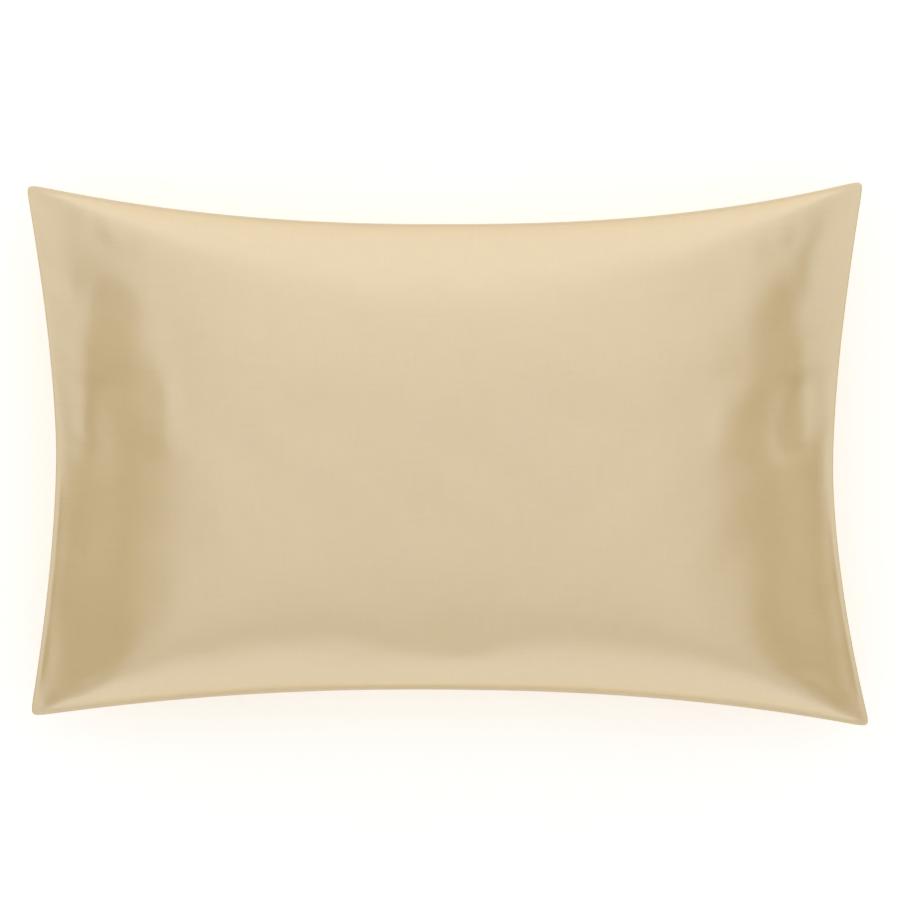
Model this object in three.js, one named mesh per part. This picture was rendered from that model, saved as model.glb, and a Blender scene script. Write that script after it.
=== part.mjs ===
// A satin pillowcase drawn over a plump pillow, lying on its back, as one filled solid.
//
// Millimetres, +Z up. X runs along the long side, Y along the short side, and the origin is on the
// floor under the middle of the outline. The front panel faces up, and in names here top is +Y and
// left is -X. The two panels meet in a knife edge: a narrow sewn lip runs all round, and the cloth
// swells away from it above and below. Seen from above, the filling draws all four sides in and
// leaves the corners as pointed ears.
import * as THREE from 'three';
import { mergeVertices } from 'three/addons/utils/BufferGeometryUtils.js';

// ---------------------------------------------------------------- driving dimensions

// The panels are sewn 750 x 500 mm. Filling pulls the corners in to these places. droop: how much
// lower the lip hangs there than along the sides.
const CORNERS = {
  topLeft: { x: -371, y: 239, droop: 16 },
  topRight: { x: 368, y: 242.5, droop: 19 },
  bottomLeft: { x: -367, y: -231, droop: 14 },
  bottomRight: { x: 374, y: -241, droop: 22 },
};

// drawnIn: how far the filling pulls the middle of the side in. curve: the exponent of its bow.
// deepest: where along the side it is deepest, from -1 to 1.
const SIDES = {
  top: { drawnIn: 38.2, curve: 2.34, deepest: 0.033 },
  bottom: { drawnIn: 29.6, curve: 2.22, deepest: 0.04 },
  left: { drawnIn: 26.0, curve: 1.68, deepest: -0.003 },
  right: { drawnIn: 31.7, curve: 1.72, deepest: -0.073 },
};
const CORNER_EXPONENT = 85; // how square the outline is: lower blunts the turned corners more

const LIP_WIDTH = 4; // from the stitch line to the very edge
const LIP_THICKNESS = 2.4; // both panels and their turned-in allowances

const SEAM_HEIGHT = 76; // the middle of the lip above the floor, along the sides
const DROOP_CURVE = 4; // exponent of the droop: higher keeps it nearer to the corners
const CROWN = 90; // the front panel above the lip, at the middle

// How a panel swells from its lip to the middle, across each direction. flatness: higher flattens
// the middle. softness: higher leaves the lip more gently.
const SWELL = {
  lengthwise: { flatness: 4.6, softness: 1.5 },
  crosswise: { flatness: 5.2, softness: 0.9 },
};
// The filling has sunk towards the bottom, so the top rises more gently from its seams. Each
// direction loses this much flatness, gradually between begins and full, from -1 to 1 up the panel.
const SLACK_TOP = { lengthwise: 2.6, crosswise: 2.4, begins: -0.3, full: 0.95 };
const HIP_SHARPNESS = 3.5; // how sharply the ends and the long sides meet, along the hips to the corners
const LEAST_SWELL = 1e-6; // keeps the stitch line's share above 0, where the hips' blend needs it
const EAR_REACH = 80; // how far from a corner the ears stay thin
const EAR_THINNING = 0.35; // the share of the swell that a corner loses

const REST_SHARE = 1.45; // the back would swell this much deeper if the floor weren't there
const REST_ROUNDING = 0.22; // how gradually the back lifts off the floor, as a share of its depth

// Soft ridges (positive rise) and troughs (negative) in the front panel. angle turns the fold's long
// direction from +X, in degrees. reach is half its length, and spread half its width. They die out
// towards the stitch line, below this share of the swell.
const FOLDS_FADE_BELOW = 0.12;
const LEFT_END_FOLDS = [
  { name: 'slack strip inside the seam', x: -333, y: 168, angle: 98, reach: 52, spread: 14, rise: -3.5 },
  { name: 'slack patch below the strip', x: -311, y: 108, angle: 76, reach: 44, spread: 20, rise: -4 },
  { name: 'slack patch on the side', x: -304, y: 34, angle: 95, reach: 42, spread: 20, rise: -5 },
];
const FRONT_FOLDS = [
  ...LEFT_END_FOLDS,
  ...LEFT_END_FOLDS.map((fold) => ({ ...fold, x: -fold.x, angle: 180 - fold.angle })),
  { name: 'puff above the bottom seam', x: -12, y: -183, angle: 0, reach: 72, spread: 19, rise: 13 },
];

const COLUMNS = 60; // grid cells along X, the two lip cells included
const ROWS = 42; // grid cells along Y, likewise
const EDGE_CROWDING = 0.35; // 0 spaces the grid lines evenly, more crowds them towards the lip

// ---------------------------------------------------------------- the outline, seen from above

const LIP_U = LIP_WIDTH / ((CORNERS.bottomRight.x - CORNERS.bottomLeft.x) / 2); // the lip's share of u
const LIP_V = LIP_WIDTH / ((CORNERS.topRight.y - CORNERS.bottomRight.y) / 2); // and of v

// The corners' value for key, blended evenly across the panel.
function fromCorners(key, u, v) {
  const { topLeft, topRight, bottomLeft, bottomRight } = CORNERS;
  const top = topLeft[key] * (1 - u) + topRight[key] * (1 + u);
  const bottom = bottomLeft[key] * (1 - u) + bottomRight[key] * (1 + u);
  return (top * (1 + v) + bottom * (1 - v)) / 4;
}

// How far a side is drawn in at t, which runs from -1 to 1 along it.
function drawnIn(side, t) {
  const fromDeepest = t - side.deepest * (1 - t * t);
  return side.drawnIn * (1 - Math.abs(fromDeepest) ** side.curve);
}

// The place in the outline of (u, v), each from -1 to 1: the four sides blended as a Coons patch.
function planPoint(u, v) {
  const left = ((1 - u) / 2) * drawnIn(SIDES.left, v);
  const right = ((1 + u) / 2) * drawnIn(SIDES.right, v);
  const bottom = ((1 - v) / 2) * drawnIn(SIDES.bottom, u);
  const top = ((1 + v) / 2) * drawnIn(SIDES.top, u);
  return { x: fromCorners('x', u, v) + left - right, y: fromCorners('y', u, v) + bottom - top };
}

// Pulls the corners of the outline in to a blunt turn. The pull fades out inside the lip.
function bluntCorners(u, v) {
  const ring = Math.max(Math.abs(u), Math.abs(v));
  if (ring === 0) return { u, v };
  const towardsCorner = Math.abs(u / ring) ** CORNER_EXPONENT + Math.abs(v / ring) ** CORNER_EXPONENT;
  const pull = towardsCorner ** (-(ring ** CORNER_EXPONENT) / CORNER_EXPONENT);
  return { u: u * pull, v: v * pull };
}

// ---------------------------------------------------------------- the swell above and below it

// 1 at the middle of the panel and next to nothing at its stitch line.
function swellAcross(t, lip, flatness, softness) {
  const q = Math.min(1, Math.abs(t) / (1 - lip));
  return Math.max((1 - q ** flatness) ** softness, LEAST_SWELL);
}

// The share of its full depth that a panel has at (u, v), which lies at place.
function swell(u, v, place) {
  const slack = THREE.MathUtils.smoothstep(v, SLACK_TOP.begins, SLACK_TOP.full);
  const flatnessAlong = SWELL.lengthwise.flatness - SLACK_TOP.lengthwise * slack;
  const flatnessAcross = SWELL.crosswise.flatness - SLACK_TOP.crosswise * slack;
  const along = swellAcross(u, LIP_U, flatnessAlong, SWELL.lengthwise.softness);
  const across = swellAcross(v, LIP_V, flatnessAcross, SWELL.crosswise.softness);
  const full = (along ** -HIP_SHARPNESS + across ** -HIP_SHARPNESS - 1) ** (-1 / HIP_SHARPNESS);
  const thinning = Object.values(CORNERS).reduce((sum, c) => {
    const distance = Math.hypot(place.x - c.x, place.y - c.y);
    return sum + EAR_THINNING * Math.exp(-((distance / EAR_REACH) ** 2));
  }, 0);
  return full * (1 - thinning);
}

// min(value, 1), with the corner rounded off over REST_ROUNDING, so that the back lies flat at exactly 1.
function restOnFloor(value) {
  const over = value - (1 - REST_ROUNDING);
  if (over <= 0) return value;
  if (over >= 2 * REST_ROUNDING) return 1;
  return value - over ** 2 / (4 * REST_ROUNDING);
}

// A fold's height at a place: level along its reach, and a bell across it.
function foldRise(fold, place) {
  const turn = THREE.MathUtils.degToRad(fold.angle);
  const dx = place.x - fold.x;
  const dy = place.y - fold.y;
  const along = dx * Math.cos(turn) + dy * Math.sin(turn);
  const across = dy * Math.cos(turn) - dx * Math.sin(turn);
  return fold.rise * Math.exp(-((along / fold.reach) ** 4) - (across / fold.spread) ** 2);
}

// The height that both panels swell from: the lip's own, carried on across the inside.
function lipHeight(u, v) {
  return SEAM_HEIGHT - fromCorners('droop', u, v) * Math.abs(u * v) ** DROOP_CURVE;
}

// A point of the front (side +1) or back (side -1) panel.
function panelPoint(u, v, side) {
  const blunt = bluntCorners(u, v);
  const place = planPoint(blunt.u, blunt.v);
  const rise = swell(u, v, place);
  const middle = lipHeight(u, v);
  if (side < 0) {
    const lipUnderside = middle - LIP_THICKNESS / 2;
    return new THREE.Vector3(place.x, place.y, lipUnderside * (1 - restOnFloor(rise * REST_SHARE)));
  }
  const held = Math.min(1, rise / FOLDS_FADE_BELOW);
  const folds = FRONT_FOLDS.reduce((sum, fold) => sum + foldRise(fold, place), 0);
  return new THREE.Vector3(place.x, place.y, middle + LIP_THICKNESS / 2 + CROWN * rise + held * folds);
}

// ---------------------------------------------------------------- the mesh

// The grid line number n of count: the first and last cells are the lip, the rest crowd towards it.
function gridLine(n, count, lip) {
  if (n === 0 || n === count) return n === 0 ? -1 : 1;
  const t = (2 * (n - 1)) / (count - 2) - 1;
  return (1 - lip) * t * (1 + EDGE_CROWDING - EDGE_CROWDING * t * t);
}

// A box whose top and bottom are the panels' grids and whose walls are the lip's edge.
function pillowcaseGeometry() {
  const box = new THREE.BoxGeometry(2, 2, 2, COLUMNS, ROWS, 1);
  box.deleteAttribute('normal');
  box.deleteAttribute('uv');
  const geometry = mergeVertices(box);
  const position = geometry.getAttribute('position');
  for (let i = 0; i < position.count; i += 1) {
    const column = Math.round(((position.getX(i) + 1) / 2) * COLUMNS);
    const row = Math.round(((position.getY(i) + 1) / 2) * ROWS);
    const u = gridLine(column, COLUMNS, LIP_U);
    const v = gridLine(row, ROWS, LIP_V);
    const point = panelPoint(u, v, Math.sign(position.getZ(i)));
    position.setXYZ(i, point.x, point.y, point.z);
  }
  geometry.computeBoundingBox();
  const { min, max } = geometry.boundingBox;
  geometry.translate(-(min.x + max.x) / 2, -(min.y + max.y) / 2, -min.z);
  geometry.computeVertexNormals();
  return geometry;
}

const satin = new THREE.MeshStandardMaterial({ color: 0xd9c39b, roughness: 0.42, metalness: 0 });

const pillowcase = new THREE.Mesh(pillowcaseGeometry(), satin);
pillowcase.name = 'pillowcase';

const part = new THREE.Group();
part.add(pillowcase);

export default part;
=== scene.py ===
"""A gold satin pillowcase over a plump pillow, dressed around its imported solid.

The form is worked out in millimetres, as the solid is, and turned into metres where the meshes are
made. Seen from above, top is +Y and left is -X. The front panel faces up.
"""

import math

import bpy
import numpy as np
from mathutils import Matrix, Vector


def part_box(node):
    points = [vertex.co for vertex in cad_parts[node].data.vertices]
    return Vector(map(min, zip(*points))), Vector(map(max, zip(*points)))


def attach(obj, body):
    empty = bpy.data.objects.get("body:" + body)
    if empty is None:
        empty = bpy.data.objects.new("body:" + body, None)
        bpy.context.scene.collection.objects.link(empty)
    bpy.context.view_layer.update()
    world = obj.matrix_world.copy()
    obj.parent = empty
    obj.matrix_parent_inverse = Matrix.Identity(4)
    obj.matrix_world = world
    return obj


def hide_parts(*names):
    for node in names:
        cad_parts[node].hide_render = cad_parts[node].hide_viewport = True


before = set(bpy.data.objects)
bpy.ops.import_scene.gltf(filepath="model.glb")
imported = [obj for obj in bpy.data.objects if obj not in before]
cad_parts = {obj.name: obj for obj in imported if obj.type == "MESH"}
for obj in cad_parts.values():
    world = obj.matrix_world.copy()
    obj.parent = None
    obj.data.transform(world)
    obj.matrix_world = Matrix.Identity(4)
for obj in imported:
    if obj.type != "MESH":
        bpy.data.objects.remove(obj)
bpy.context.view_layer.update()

NODE = "pillowcase"
MM = 0.001
SEED = 7
NOUGHT = 1e-9  # keeps a divisor above 0

# ---------------------------------------------------------------- the form, as the solid has it

# droop: how much lower the lip hangs at a corner than along the sides
CORNERS = {
    "top_left": dict(x=-371.0, y=239.0, droop=16.0),
    "top_right": dict(x=368.0, y=242.5, droop=19.0),
    "bottom_left": dict(x=-367.0, y=-231.0, droop=14.0),
    "bottom_right": dict(x=374.0, y=-241.0, droop=22.0),
}

# drawn_in: how far the filling pulls the middle of the side in. curve: the exponent of its bow.
# deepest: where along the side it is deepest, from -1 to 1
SIDES = {
    "top": dict(drawn_in=38.2, curve=2.34, deepest=0.033),
    "bottom": dict(drawn_in=29.6, curve=2.22, deepest=0.04),
    "left": dict(drawn_in=26.0, curve=1.68, deepest=-0.003),
    "right": dict(drawn_in=31.7, curve=1.72, deepest=-0.073),
}
CORNER_EXPONENT = 85  # how square the outline is

LIP_WIDTH = 4.0  # from the stitch line to the very edge
LIP_THICKNESS = 2.4
HALF_LENGTH = (CORNERS["bottom_right"]["x"] - CORNERS["bottom_left"]["x"]) / 2
HALF_WIDTH = (CORNERS["top_right"]["y"] - CORNERS["bottom_right"]["y"]) / 2
LIP_U = LIP_WIDTH / HALF_LENGTH  # the lip's share of u
LIP_V = LIP_WIDTH / HALF_WIDTH  # and of v

SEAM_HEIGHT = 76.0  # the middle of the lip above the floor, along the sides
DROOP_CURVE = 4  # exponent of the droop: higher keeps it nearer to the corners
CROWN = 90.0  # the front panel above the lip, at the middle
# How a panel swells from its lip to the middle. flatness: higher flattens the middle. softness:
# higher leaves the lip more gently.
SWELL_LENGTHWISE = dict(flatness=4.6, softness=1.5)
SWELL_CROSSWISE = dict(flatness=5.2, softness=0.9)
# The filling has sunk towards the bottom, so the top rises more gently from its seams. Each
# direction loses this much flatness, gradually between begins and full, from -1 to 1 up the panel.
SLACK_TOP = dict(lengthwise=2.6, crosswise=2.4, begins=-0.3, full=0.95)
HIP_SHARPNESS = 3.5  # how sharply the ends and the long sides meet
EAR_REACH = 80.0  # how far from a corner the ears stay thin
EAR_THINNING = 0.35  # the share of the swell that a corner loses
REST_SHARE = 1.45  # the back would swell this much deeper if the floor weren't there
REST_ROUNDING = 0.22  # how gradually the back lifts off the floor, as a share of its depth
LEAST_SWELL = 1e-6  # keeps the stitch line's share above 0, where the hips' blend needs it


def from_corners(key, u, v):
    """The corners' value for key, blended evenly across the panel."""
    top = CORNERS["top_left"][key] * (1 - u) + CORNERS["top_right"][key] * (1 + u)
    bottom = CORNERS["bottom_left"][key] * (1 - u) + CORNERS["bottom_right"][key] * (1 + u)
    return (top * (1 + v) + bottom * (1 - v)) / 4


def drawn_in(side, t):
    """How far a side is drawn in at t, which runs from -1 to 1 along it."""
    s = SIDES[side]
    from_deepest = t - s["deepest"] * (1 - t * t)
    return s["drawn_in"] * (1 - np.abs(from_deepest) ** s["curve"])


def plan_point(u, v):
    """Where (u, v), each from -1 to 1, lies in the outline: its four sides as a Coons patch."""
    ring = np.maximum(np.maximum(np.abs(u), np.abs(v)), NOUGHT)
    towards_corner = np.abs(u / ring) ** CORNER_EXPONENT + np.abs(v / ring) ** CORNER_EXPONENT
    pull = towards_corner ** (-(ring**CORNER_EXPONENT) / CORNER_EXPONENT)
    u, v = u * pull, v * pull
    left = (1 - u) / 2 * drawn_in("left", v)
    right = (1 + u) / 2 * drawn_in("right", v)
    bottom = (1 - v) / 2 * drawn_in("bottom", u)
    top = (1 + v) / 2 * drawn_in("top", u)
    return from_corners("x", u, v) + left - right, from_corners("y", u, v) + bottom - top


def swell_across(t, lip, flatness, softness):
    """1 at the middle of the panel and nearly 0 at its stitch line."""
    q = np.minimum(1, np.abs(t) / (1 - lip))
    return np.maximum((1 - q**flatness) ** softness, LEAST_SWELL)


def smooth_step(value, begins, full):
    """0 up to begins and 1 from full on, with a soft S between."""
    t = np.clip((value - begins) / (full - begins), 0, 1)
    return t * t * (3 - 2 * t)


def swell(u, v, x, y):
    """The share of its full depth that a panel has at (u, v), which lies at (x, y)."""
    slack = smooth_step(v, SLACK_TOP["begins"], SLACK_TOP["full"])
    flatness_along = SWELL_LENGTHWISE["flatness"] - SLACK_TOP["lengthwise"] * slack
    flatness_across = SWELL_CROSSWISE["flatness"] - SLACK_TOP["crosswise"] * slack
    lengthwise = swell_across(u, LIP_U, flatness_along, SWELL_LENGTHWISE["softness"])
    crosswise = swell_across(v, LIP_V, flatness_across, SWELL_CROSSWISE["softness"])
    full = (lengthwise**-HIP_SHARPNESS + crosswise**-HIP_SHARPNESS - 1) ** (-1 / HIP_SHARPNESS)
    thinning = 0
    for c in CORNERS.values():
        thinning += EAR_THINNING * np.exp(-(np.hypot(x - c["x"], y - c["y"]) / EAR_REACH) ** 2)
    return full * (1 - thinning)


def rest_on_floor(value):
    """min(value, 1) with its corner rounded off."""
    over = np.clip(value - (1 - REST_ROUNDING), 0, 2 * REST_ROUNDING)
    return np.where(over < 2 * REST_ROUNDING, value - over**2 / (4 * REST_ROUNDING), 1)


def panel_height(u, v, x, y, side):
    """The height of the front (side 1) or back (side -1) panel, before its folds."""
    rise = swell(u, v, x, y)
    middle = SEAM_HEIGHT - from_corners("droop", u, v) * np.abs(u * v) ** DROOP_CURVE
    if side > 0:
        return middle + LIP_THICKNESS / 2 + CROWN * rise
    return (middle - LIP_THICKNESS / 2) * (1 - rest_on_floor(rise * REST_SHARE))


# ---------------------------------------------------------------- folds in the front panel

# Soft ridges (positive rise) and troughs (negative). angle turns the fold's long direction from +X,
# in degrees. reach is half its length, and spread half its width. Those of the first table lie in
# the left end, and again mirrored in the right end.
END_FOLDS = [
    dict(name="slack strip by the seam", x=-336, y=168, angle=98, reach=52, spread=12, rise=-3.2),
    dict(name="slack patch below the strip", x=-311, y=108, angle=76, reach=44, spread=20, rise=-3),
    dict(name="slack patch on the side", x=-304, y=34, angle=95, reach=42, spread=20, rise=-4),
    dict(name="terrace along the end", x=-262, y=108, angle=97, reach=70, spread=20, rise=1.2),
    dict(name="terrace's lower swell", x=-250, y=30, angle=92, reach=30, spread=14, rise=1.5),
    dict(name="wrinkle across the strip", x=-328, y=190, angle=25, reach=16, spread=6, rise=0.9),
    dict(name="wrinkle over the side patch", x=-310, y=72, angle=-20, reach=20, spread=7, rise=1.2),
    dict(name="wrinkle in the side patch", x=-318, y=18, angle=-10, reach=16, spread=6, rise=0.9),
    dict(name="bottom corner's crease", x=-320, y=-206, angle=14, reach=34, spread=5, rise=1.8),
    dict(name="hollow over that crease", x=-312, y=-196, angle=12, reach=30, spread=6, rise=-1.0),
    dict(name="first top seam pucker", x=-322, y=214, angle=60, reach=14, spread=8, rise=1.2),
    dict(name="second top seam pucker", x=-297, y=204, angle=65, reach=16, spread=9, rise=1.4),
    dict(name="third top seam pucker", x=-262, y=192, angle=70, reach=20, spread=11, rise=1.4),
]
MIDDLE_FOLDS = [
    dict(name="puff above the bottom seam", x=-12, y=-190, angle=0, reach=70, spread=26, rise=9),
]
FOLDS_FADE_BELOW = 0.12  # folds die out towards the stitch line, below this share of the swell
FOLDS_WANDER = 5.0  # mm that a fold's borders typically stray from its even shape

# Waves in all directions, of these lengths, that add up to an uneven surface
WAVES = 36
WAVE_LENGTHS = (45.0, 150.0)


def fold_height(x, y, fold):
    """Level along the fold's reach, and a bell across it."""
    turn = math.radians(fold["angle"])
    dx, dy = x - fold["x"], y - fold["y"]
    along = dx * math.cos(turn) + dy * math.sin(turn)
    across = dy * math.cos(turn) - dx * math.sin(turn)
    return fold["rise"] * np.exp(-((along / fold["reach"]) ** 4) - (across / fold["spread"]) ** 2)


def waves(x, y, rng):
    """Shallow lumps with a typical height of 1."""
    total = np.zeros_like(x)
    for _ in range(WAVES):
        turn, phase = rng.uniform(0, 2 * math.pi, 2)
        turns = 2 * math.pi / rng.uniform(*WAVE_LENGTHS)
        total += np.sin((x * math.cos(turn) + y * math.sin(turn)) * turns + phase)
    return total / math.sqrt(WAVES / 2)


def fold_heights(x, y, rng):
    """All folds together, with borders that stray."""
    x, y = x + FOLDS_WANDER * waves(x, y, rng), y + FOLDS_WANDER * waves(x, y, rng)
    ends = sum(fold_height(x, y, fold) + fold_height(-x, y, fold) for fold in END_FOLDS)
    return ends + sum(fold_height(x, y, fold) for fold in MIDDLE_FOLDS)


# ---------------------------------------------------------------- the cloth's small unevenness

# Along the lower part of the ends the cloth stands up at once inside the stitch line: a roll that
# rises within start and dies away over reach.
ROLL = dict(rise=3.2, start=5.0, reach=14.0)
ROLL_FROM_SIDES = 42.0  # how far from the long sides the roll is full
ROLL_FULL_BELOW = (0.05, -0.4)  # from -1 to 1 up the panel: where it begins and where it is full

LUMP_HEIGHT = 0.4  # mm that the filling typically makes the front panel uneven by

# The sewing gathers the cloth a little. Each row is a set of gathers that start at the stitch line.
SEAM_GATHERS = [
    dict(spacing=11.0, height=0.5, reach=13.0),
    dict(spacing=27.0, height=0.7, reach=34.0),
]
GATHER_COUNT = 256  # more than the closest gathers along a side


def from_stitch_line(u, v):
    """How far a point lies inside the stitch line, from the ends and from the long sides."""
    from_end = np.maximum(0, (1 - LIP_U - np.abs(u)) * HALF_LENGTH)
    from_side = np.maximum(0, (1 - LIP_V - np.abs(v)) * HALF_WIDTH)
    return from_end, from_side


def seam_roll(from_end, from_side, v):
    """Along the lower part of the two ends alone, and not in the corners."""
    rising = 1 - np.exp(-from_end / ROLL["start"])
    roll = ROLL["rise"] * rising * np.exp(-from_end / ROLL["reach"])
    return roll * smooth_step(from_side, 0, ROLL_FROM_SIDES) * smooth_step(v, *ROLL_FULL_BELOW)


def uneven_wave(along, spacing, rng):
    """A smooth line through random heights from -1 to 1, one for each spacing."""
    heights = rng.uniform(-1, 1, GATHER_COUNT)
    place = along / spacing + len(heights) / 2
    start = np.floor(place).astype(int)
    share = place - start
    share = share * share * (3 - 2 * share)
    return heights[start] * (1 - share) + heights[start + 1] * share


def seam_gathers(x, y, from_end, from_side, rng):
    total = np.zeros_like(x)
    for row in SEAM_GATHERS:
        for along, distance, positive in ((x, from_side, y > 0), (y, from_end, x > 0)):
            first = uneven_wave(along, row["spacing"], rng)
            second = uneven_wave(along, row["spacing"], rng)
            rising = 1 - np.exp(-distance / LIP_WIDTH)
            fading = np.exp(-((distance / row["reach"]) ** 2))
            total += row["height"] * np.where(positive, first, second) * (rising * fading)
    return total


# ---------------------------------------------------------------- the cloth's grid

GRID_PITCH = 6.2  # mm between threads of the grid, away from the lip
EDGE_PITCH = 2.0  # mm at the lip
PITCH_GROWTH = 1.22  # from each cell to the next, inwards


def grid_lines(half):
    """Lines from -1 to 1: two cells on the lip, then cells that widen to an even pitch."""
    steps = [EDGE_PITCH, LIP_WIDTH - EDGE_PITCH]
    while steps[-1] * PITCH_GROWTH < GRID_PITCH:
        steps.append(steps[-1] * PITCH_GROWTH)
    from_edge = np.concatenate([[0], np.cumsum(steps)])
    inner = half - from_edge[-1]
    even = np.linspace(from_edge[-1], half, math.ceil(inner / GRID_PITCH) + 1)[1:]
    outward = 1 - np.concatenate([from_edge, even]) / half
    return np.concatenate([-outward, outward[-2::-1]])


U_LINES = grid_lines(HALF_LENGTH)
V_LINES = grid_lines(HALF_WIDTH)


def arc_lengths(points, axis):
    """The distance along the cloth from the grid's middle line, for each of its points."""
    steps = np.linalg.norm(np.diff(points, axis=axis), axis=2)
    start = np.zeros_like(np.take(steps, [0], axis=axis))
    run = np.concatenate([start, np.cumsum(steps, axis=axis)], axis=axis)
    middle = np.take(run, [run.shape[axis] // 2], axis=axis)
    return run - middle


def ring_indices(rows, columns):
    """The grid's outermost points, once round."""
    grid = np.arange(rows * columns).reshape(rows, columns)
    return np.concatenate([grid[0, :-1], grid[:-1, -1], grid[-1, :0:-1], grid[:0:-1, 0]])


def cover_mesh():
    """Both panels and the lip's edge between them, as one closed mesh, with the grid's u and v."""
    u, v = np.meshgrid(U_LINES, V_LINES)
    x, y = plan_point(u, v)
    rows, columns = u.shape
    panels, maps = [], []
    for side in (1, -1):
        panel = np.stack([x, y, panel_height(u, v, x, y, side)], axis=2)
        panels.append(panel)
        maps.append(np.stack([arc_lengths(panel, 1), arc_lengths(panel, 0)], axis=2))
    ring = ring_indices(rows, columns)
    count = rows * columns
    front, back = (p.reshape(-1, 3) for p in panels)
    edge = (front[ring] + back[ring]) / 2
    points = np.concatenate([front, back, edge])
    cloth_map = np.concatenate([m.reshape(-1, 2) for m in maps] + [maps[0].reshape(-1, 2)[ring]])

    corner = (np.arange(rows - 1)[:, None] * columns + np.arange(columns - 1)).ravel()
    quad = np.stack([corner, corner + 1, corner + columns + 1, corner + columns], axis=1)
    edge_id = 2 * count + np.arange(len(ring))
    after = np.roll(np.arange(len(ring)), -1)
    upper = np.stack([ring, edge_id, edge_id[after], ring[after]], axis=1)
    lower = np.stack([edge_id, ring + count, ring[after] + count, edge_id[after]], axis=1)
    faces = np.concatenate([quad, quad[:, ::-1] + count, upper, lower])

    lowest, highest = (np.array(box_corner) / MM for box_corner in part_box(NODE))
    points[:, :2] += ((lowest + highest) / 2 - (points.min(0) + points.max(0)) / 2)[:2]
    mesh = bpy.data.meshes.new("filled_cover")
    mesh.from_pydata((points * MM).tolist(), [], faces.tolist())
    mesh.update()
    layer = mesh.uv_layers.new(name="cloth")
    corner_points = np.empty(len(mesh.loops), dtype=np.int32)
    mesh.loops.foreach_get("vertex_index", corner_points)
    layer.data.foreach_set("uv", (cloth_map[corner_points] * MM).ravel())
    mesh.polygons.foreach_set("use_smooth", [True] * len(mesh.polygons))
    return mesh, u.ravel(), v.ravel()


# ---------------------------------------------------------------- how the cloth settles

SIM_FRAMES = 14
SIM_CAP = 3.0  # mm that a point may move
SIM_SMOOTHING = 14  # passes that each even a point's move out with its neighbours'
SIM_FADE = 120.0  # mm inside the stitch line over which the move comes in
CLOTH_SETTINGS = dict(
    quality=5,
    mass=0.3,
    tension_stiffness=30,
    compression_stiffness=30,
    shear_stiffness=10,
    bending_stiffness=0.6,
    use_pressure=True,
    uniform_pressure_force=1.5,
)


def positions(mesh):
    flat = np.empty(len(mesh.vertices) * 3, dtype=np.float64)
    mesh.vertices.foreach_get("co", flat)
    return flat.reshape(-1, 3)


def set_positions(mesh, points):
    mesh.vertices.foreach_set("co", np.ascontiguousarray(points, dtype=np.float64).ravel())
    mesh.update()


def evened_out(moves):
    """A panel's grid of moves, without the small wrinkles between its neighbouring points."""
    for _ in range(SIM_SMOOTHING):
        wide = np.pad(moves, ((1, 1), (0, 0), (0, 0)), mode="edge")
        moves = (wide[:-2] + 2 * wide[1:-1] + wide[2:]) / 4
        wide = np.pad(moves, ((0, 0), (1, 1), (0, 0)), mode="edge")
        moves = (wide[:, :-2] + 2 * wide[:, 1:-1] + wide[:, 2:]) / 4
    return moves


def simulated_move(cover, held):
    """How far, in metres, each point moves when the filling pushes, with the lip held."""
    group = cover.vertex_groups.new(name="held")
    group.add(held.tolist(), 1.0, "REPLACE")
    cloth = cover.modifiers.new("settle", "CLOTH")
    for key, value in CLOTH_SETTINGS.items():
        setattr(cloth.settings, key, value)
    cloth.settings.vertex_group_mass = group.name
    cloth.settings.effector_weights.gravity = 0
    cloth.collision_settings.use_collision = False
    cloth.point_cache.frame_end = SIM_FRAMES
    scene = bpy.context.scene
    for step in range(1, SIM_FRAMES + 1):
        scene.frame_set(step)
    settled = cover.evaluated_get(bpy.context.evaluated_depsgraph_get())
    move = positions(settled.data) - positions(cover.data)
    cover.modifiers.remove(cloth)
    cover.vertex_groups.remove(group)
    scene.frame_set(1)
    return move


def settle(cover, held, inwards):
    """Lets the cloth take up the filling's push.

    held: the points that stay. inwards: the grid's distances from the stitch line, in mm.
    """
    move = simulated_move(cover, held)
    cap = SIM_CAP * MM
    length = np.linalg.norm(move, axis=1, keepdims=True)
    move *= cap * np.tanh(length / cap) / np.maximum(length, NOUGHT)
    count = inwards.size
    for first in (0, count):
        panel = evened_out(move[first : first + count].reshape(*inwards.shape, 3))
        panel *= smooth_step(inwards, 0, SIM_FADE)[..., None]
        move[first : first + count] = panel.reshape(-1, 3)
    set_positions(cover.data, positions(cover.data) + move)


# ---------------------------------------------------------------- materials


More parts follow.
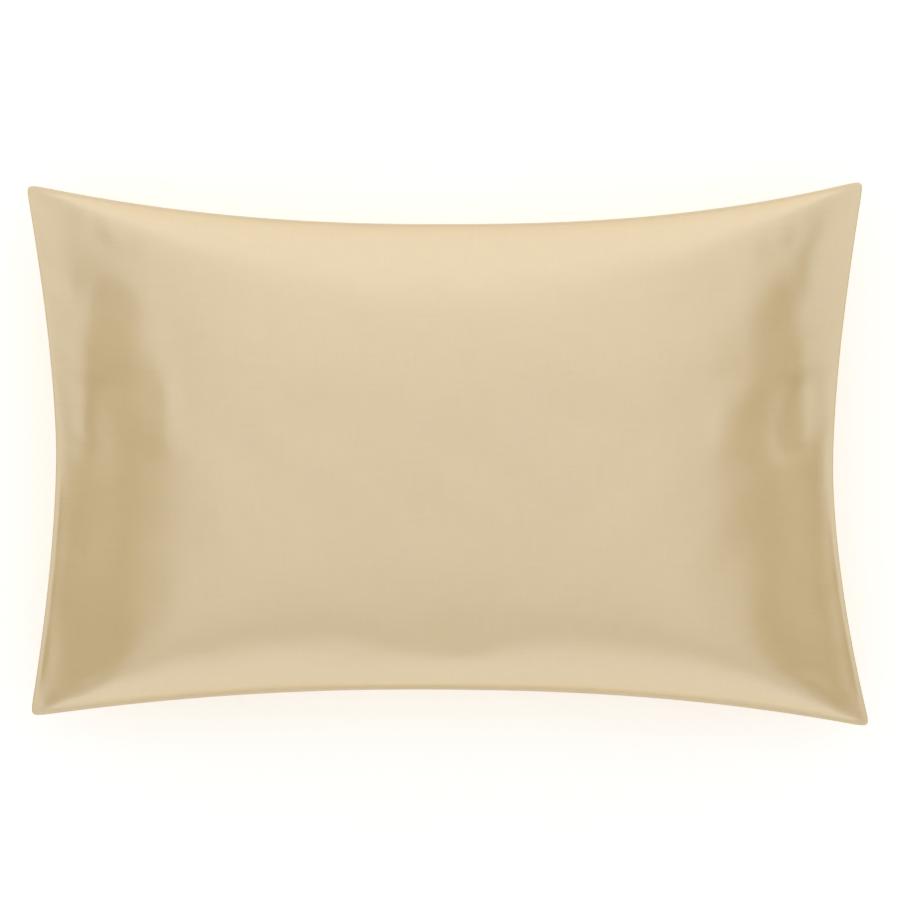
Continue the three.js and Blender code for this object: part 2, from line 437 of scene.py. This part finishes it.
class Nodes:
    """A small helper that adds and links shader nodes in one material."""

    def __init__(self, name):
        self.material = bpy.data.materials.new(name)
        self.material.use_nodes = True
        self.tree = self.material.node_tree
        self.shader = self.tree.nodes["Principled BSDF"]

    def add(self, kind, settings=None, **inputs):
        node = self.tree.nodes.new(kind)
        for key, value in (settings or {}).items():
            setattr(node, key, value)
        for key, value in inputs.items():
            self.put(node, key.replace("_", " "), value)
        return node

    def put(self, node, socket, value):
        """Links value to the socket where it is another node's output, and sets it otherwise."""
        target = node.inputs[socket]
        if isinstance(value, bpy.types.NodeSocket):
            self.tree.links.new(value, target)
        else:
            target.default_value = value

    def math(self, operation, a, b):
        node = self.add("ShaderNodeMath", {"operation": operation})
        self.put(node, 0, a)
        self.put(node, 1, b)
        return node.outputs[0]

    def multiply_add(self, a, factor, addend):
        result = self.math("MULTIPLY_ADD", a, factor)
        self.put(result.node, 2, addend)
        return result

    def noise(self, vector, scale, detail=2.0, roughness=0.5):
        """Smooth noise from 0 to 1."""
        grain = dict(Scale=scale, Detail=detail, Roughness=roughness)
        return self.add("ShaderNodeTexNoise", Vector=vector, **grain).outputs["Fac"]

    def stretched(self, vector, along_x, along_y):
        """The cloth's map with so many repeats for each metre."""
        node = self.add("ShaderNodeMapping", Vector=vector, Scale=(along_x, along_y, 1.0))
        return node.outputs["Vector"]


SATIN_COLOUR = (0.715, 0.44, 0.034)
SATIN_SURFACE = {
    "Roughness": 0.45,
    "Specular IOR Level": 1.0,
    "IOR": 2.75,
    "Anisotropic": 0.3,
    "Anisotropic Rotation": 0.25,
}
# What shows in the weave. along_x and along_y: repeats for each metre, so that the slubs lie along X
# and the warp along Y. tone: how much the colour swings with it.
WEAVE = {
    "slubs": dict(along_x=22, along_y=620, detail=3.0, roughness=0.6, tone=0.18),
    "warp": dict(along_x=620, along_y=30, detail=2.0, roughness=0.5, tone=0.10),
    "patches": dict(along_x=70, along_y=70, detail=2.0, roughness=0.5, tone=0.08),
    "threads": dict(along_x=160, along_y=1900, detail=1.0, roughness=0.5, tone=0.0),
}
THREADS_IN_RELIEF = 0.5  # the threads' share of the bump, beside the slubs'
BUMP_STRENGTH = 0.35
BUMP_HEIGHT = 0.00012


def satin_material():
    """Satin whose floats run along X: its gloss spreads crosswise, so the ends go dark."""
    n = Nodes("satin")
    cloth = n.add("ShaderNodeUVMap", {"uv_map": "cloth"}).outputs["UV"]
    grain = {}
    tone = 1.0
    for name, row in WEAVE.items():
        place = n.stretched(cloth, row["along_x"], row["along_y"])
        grain[name] = n.noise(place, 1.0, row["detail"], row["roughness"])
        if row["tone"]:
            tone = n.multiply_add(n.math("SUBTRACT", grain[name], 0.5), row["tone"], tone)
    colour = n.add("ShaderNodeVectorMath", {"operation": "SCALE"}, Scale=tone)
    n.put(colour, 0, SATIN_COLOUR)
    n.put(n.shader, "Base Color", colour.outputs["Vector"])
    height = n.multiply_add(grain["threads"], THREADS_IN_RELIEF, grain["slubs"])
    relief = dict(Strength=BUMP_STRENGTH, Distance=BUMP_HEIGHT, Height=height)
    n.put(n.shader, "Normal", n.add("ShaderNodeBump", **relief).outputs["Normal"])
    for socket, value in SATIN_SURFACE.items():
        n.put(n.shader, socket, value)
    tangent = n.add("ShaderNodeTangent", {"direction_type": "UV_MAP", "uv_map": "cloth"})
    n.put(n.shader, "Tangent", tangent.outputs["Tangent"])
    return n.material


FLOOR_SHADE = 0.86
FLOOR_CLOUDS = dict(per_metre=3.0, swing=0.01)
FLOOR_SURFACE = {
    "Roughness": 0.9,
    "Emission Color": (1.0, 1.0, 1.0, 1.0),
    "Emission Strength": 0.37,
}


def floor_material():
    n = Nodes("studio_floor")
    where = n.add("ShaderNodeTexCoord").outputs["Object"]
    clouds = n.noise(where, FLOOR_CLOUDS["per_metre"])
    shade = n.multiply_add(clouds, FLOOR_CLOUDS["swing"], FLOOR_SHADE)
    grey = n.add("ShaderNodeCombineColor", Red=shade, Green=shade, Blue=shade)
    n.put(n.shader, "Base Color", grey.outputs[0])
    for socket, value in FLOOR_SURFACE.items():
        n.put(n.shader, socket, value)
    return n.material


# ---------------------------------------------------------------- the studio

LENS_MM = 200
SENSOR_MM = 36
VIEW_DEPTH = 60  # metres that the camera sees
PHOTO_PIXELS = 900
PIXEL = 0.88 * MM  # the cloth that one pixel of the photo shows, at the seam
PHOTO_CENTRE_FROM_ORIGIN = (1.76 * MM, 3.5 * MM)
PICTURE_PLANE = 0.068  # the height at which that scale holds


def camera():
    """Straight above the face, so far off that it sees it almost without perspective."""
    data = bpy.data.cameras.new("camera")
    data.lens = LENS_MM
    data.sensor_width = SENSOR_MM
    data.clip_end = VIEW_DEPTH
    cam = bpy.data.objects.new("camera", data)
    bpy.context.collection.objects.link(cam)
    distance = PHOTO_PIXELS * PIXEL * LENS_MM / SENSOR_MM
    cam.location = (*PHOTO_CENTRE_FROM_ORIGIN, PICTURE_PLANE + distance)
    bpy.context.scene.camera = cam


WORLD_RADIANCE = 0.30
WORLD_BRIGHTER_BEHIND = 0.2  # how much more the horizon behind the top edge has, and the other less
FLOOR_HALF = 20.0  # metres from its middle to a side
FLOOR_DROP = 0.0005  # keeps the floor clear of the cloth that rests on it

# An arc of wide softboxes from the horizon below the picture, overhead, to the one above it. angle
# is from straight up towards +Y, in degrees. The ends face left and right, past the arc, and mirror
# less of it.
ARC_RADIUS = 2.4
ARC_DEPTH = 0.78
SOFTBOXES = [
    dict(name="below_horizon", angle=-80, width=4.6, radiance=0.82),
    dict(name="below_low", angle=-60, width=6.0, radiance=0.40),
    dict(name="below_high", angle=-40, width=6.0, radiance=0.70),
    dict(name="overhead_below", angle=-20, width=6.0, radiance=0.62),
    dict(name="overhead", angle=0, width=6.0, radiance=0.59),
    dict(name="overhead_above", angle=20, width=7.0, radiance=0.66),
    dict(name="above_high", angle=40, width=8.0, radiance=0.54),
    dict(name="above_low", angle=60, width=8.0, radiance=0.44),
    dict(name="above_horizon", angle=80, width=6.5, radiance=0.80),
]


def softbox(name, angle, width, radiance):
    """One softbox of the arc, as bright from everywhere as a surface of that radiance."""
    data = bpy.data.lights.new(name, "AREA")
    data.shape = "RECTANGLE"
    data.size, data.size_y = width, ARC_DEPTH
    data.energy = radiance * math.pi * data.size * data.size_y
    light = bpy.data.objects.new(name, data)
    bpy.context.collection.objects.link(light)
    turn = math.radians(angle)
    light.location = (0, ARC_RADIUS * math.sin(turn), ARC_RADIUS * math.cos(turn))
    light.rotation_euler = (-turn, 0, 0)
    light.visible_camera = False


def surroundings():
    """A white world that brightens from the horizon below the picture to the one above it."""
    world = bpy.data.worlds.new("studio")
    world.use_nodes = True
    nodes, links = world.node_tree.nodes, world.node_tree.links
    direction = nodes.new("ShaderNodeTexCoord").outputs["Generated"]
    separate = nodes.new("ShaderNodeSeparateXYZ")
    links.new(direction, separate.inputs["Vector"])
    radiance = nodes.new("ShaderNodeMath")
    radiance.operation = "MULTIPLY_ADD"
    links.new(separate.outputs["Y"], radiance.inputs[0])
    radiance.inputs[1].default_value = WORLD_BRIGHTER_BEHIND
    radiance.inputs[2].default_value = WORLD_RADIANCE
    background = nodes["Background"]
    background.inputs["Color"].default_value = (1.0, 1.0, 1.0, 1.0)
    links.new(radiance.outputs["Value"], background.inputs["Strength"])
    bpy.context.scene.world = world


def studio_floor():
    mesh = bpy.data.meshes.new("floor")
    corners = [(x * FLOOR_HALF, y * FLOOR_HALF, 0) for x, y in ((-1, -1), (1, -1), (1, 1), (-1, 1))]
    mesh.from_pydata(corners, [], [(0, 1, 2, 3)])
    floor = bpy.data.objects.new("floor", mesh)
    floor.location.z = -FLOOR_DROP
    floor.data.materials.append(floor_material())
    bpy.context.collection.objects.link(floor)


def studio():
    surroundings()
    for row in SOFTBOXES:
        softbox(**row)
    bpy.context.scene.view_settings.view_transform = "Standard"
    studio_floor()


# ---------------------------------------------------------------- the pillowcase


def filled_cover():
    mesh, u, v = cover_mesh()
    cover = bpy.data.objects.new("filled_cover", mesh)
    bpy.context.collection.objects.link(cover)
    grid = len(u)
    past_stitches = np.maximum(np.abs(u) - (1 - LIP_U), np.abs(v) - (1 - LIP_V))
    on_lip = np.flatnonzero(past_stitches > -NOUGHT)
    held = np.concatenate([on_lip, on_lip + grid, np.arange(2 * grid, len(mesh.vertices))])
    from_end, from_side = from_stitch_line(u, v)
    inwards = np.minimum(from_end, from_side)
    settle(cover, held, inwards.reshape(len(V_LINES), len(U_LINES)))

    points = positions(mesh) / MM
    x, y = plan_point(u, v)
    rise = swell(u, v, x, y)
    rng = np.random.default_rng(SEED)
    inside = np.minimum(1, rise / FOLDS_FADE_BELOW)
    points[:grid, 2] += (LUMP_HEIGHT * waves(x, y, rng) + fold_heights(x, y, rng)) * inside
    points[:grid, 2] += seam_roll(from_end, from_side, v)
    points[:grid, 2] += seam_gathers(x, y, from_end, from_side, rng)
    points[:, 2] = np.maximum(points[:, 2], 0)
    set_positions(mesh, points * MM)

    rounding = cover.modifiers.new("subdivision", "SUBSURF")
    rounding.levels = rounding.render_levels = 1
    cover.data.materials.append(satin_material())
    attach(cover, "root")
    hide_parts(NODE)
    return cover


camera()
studio()
filled_cover()
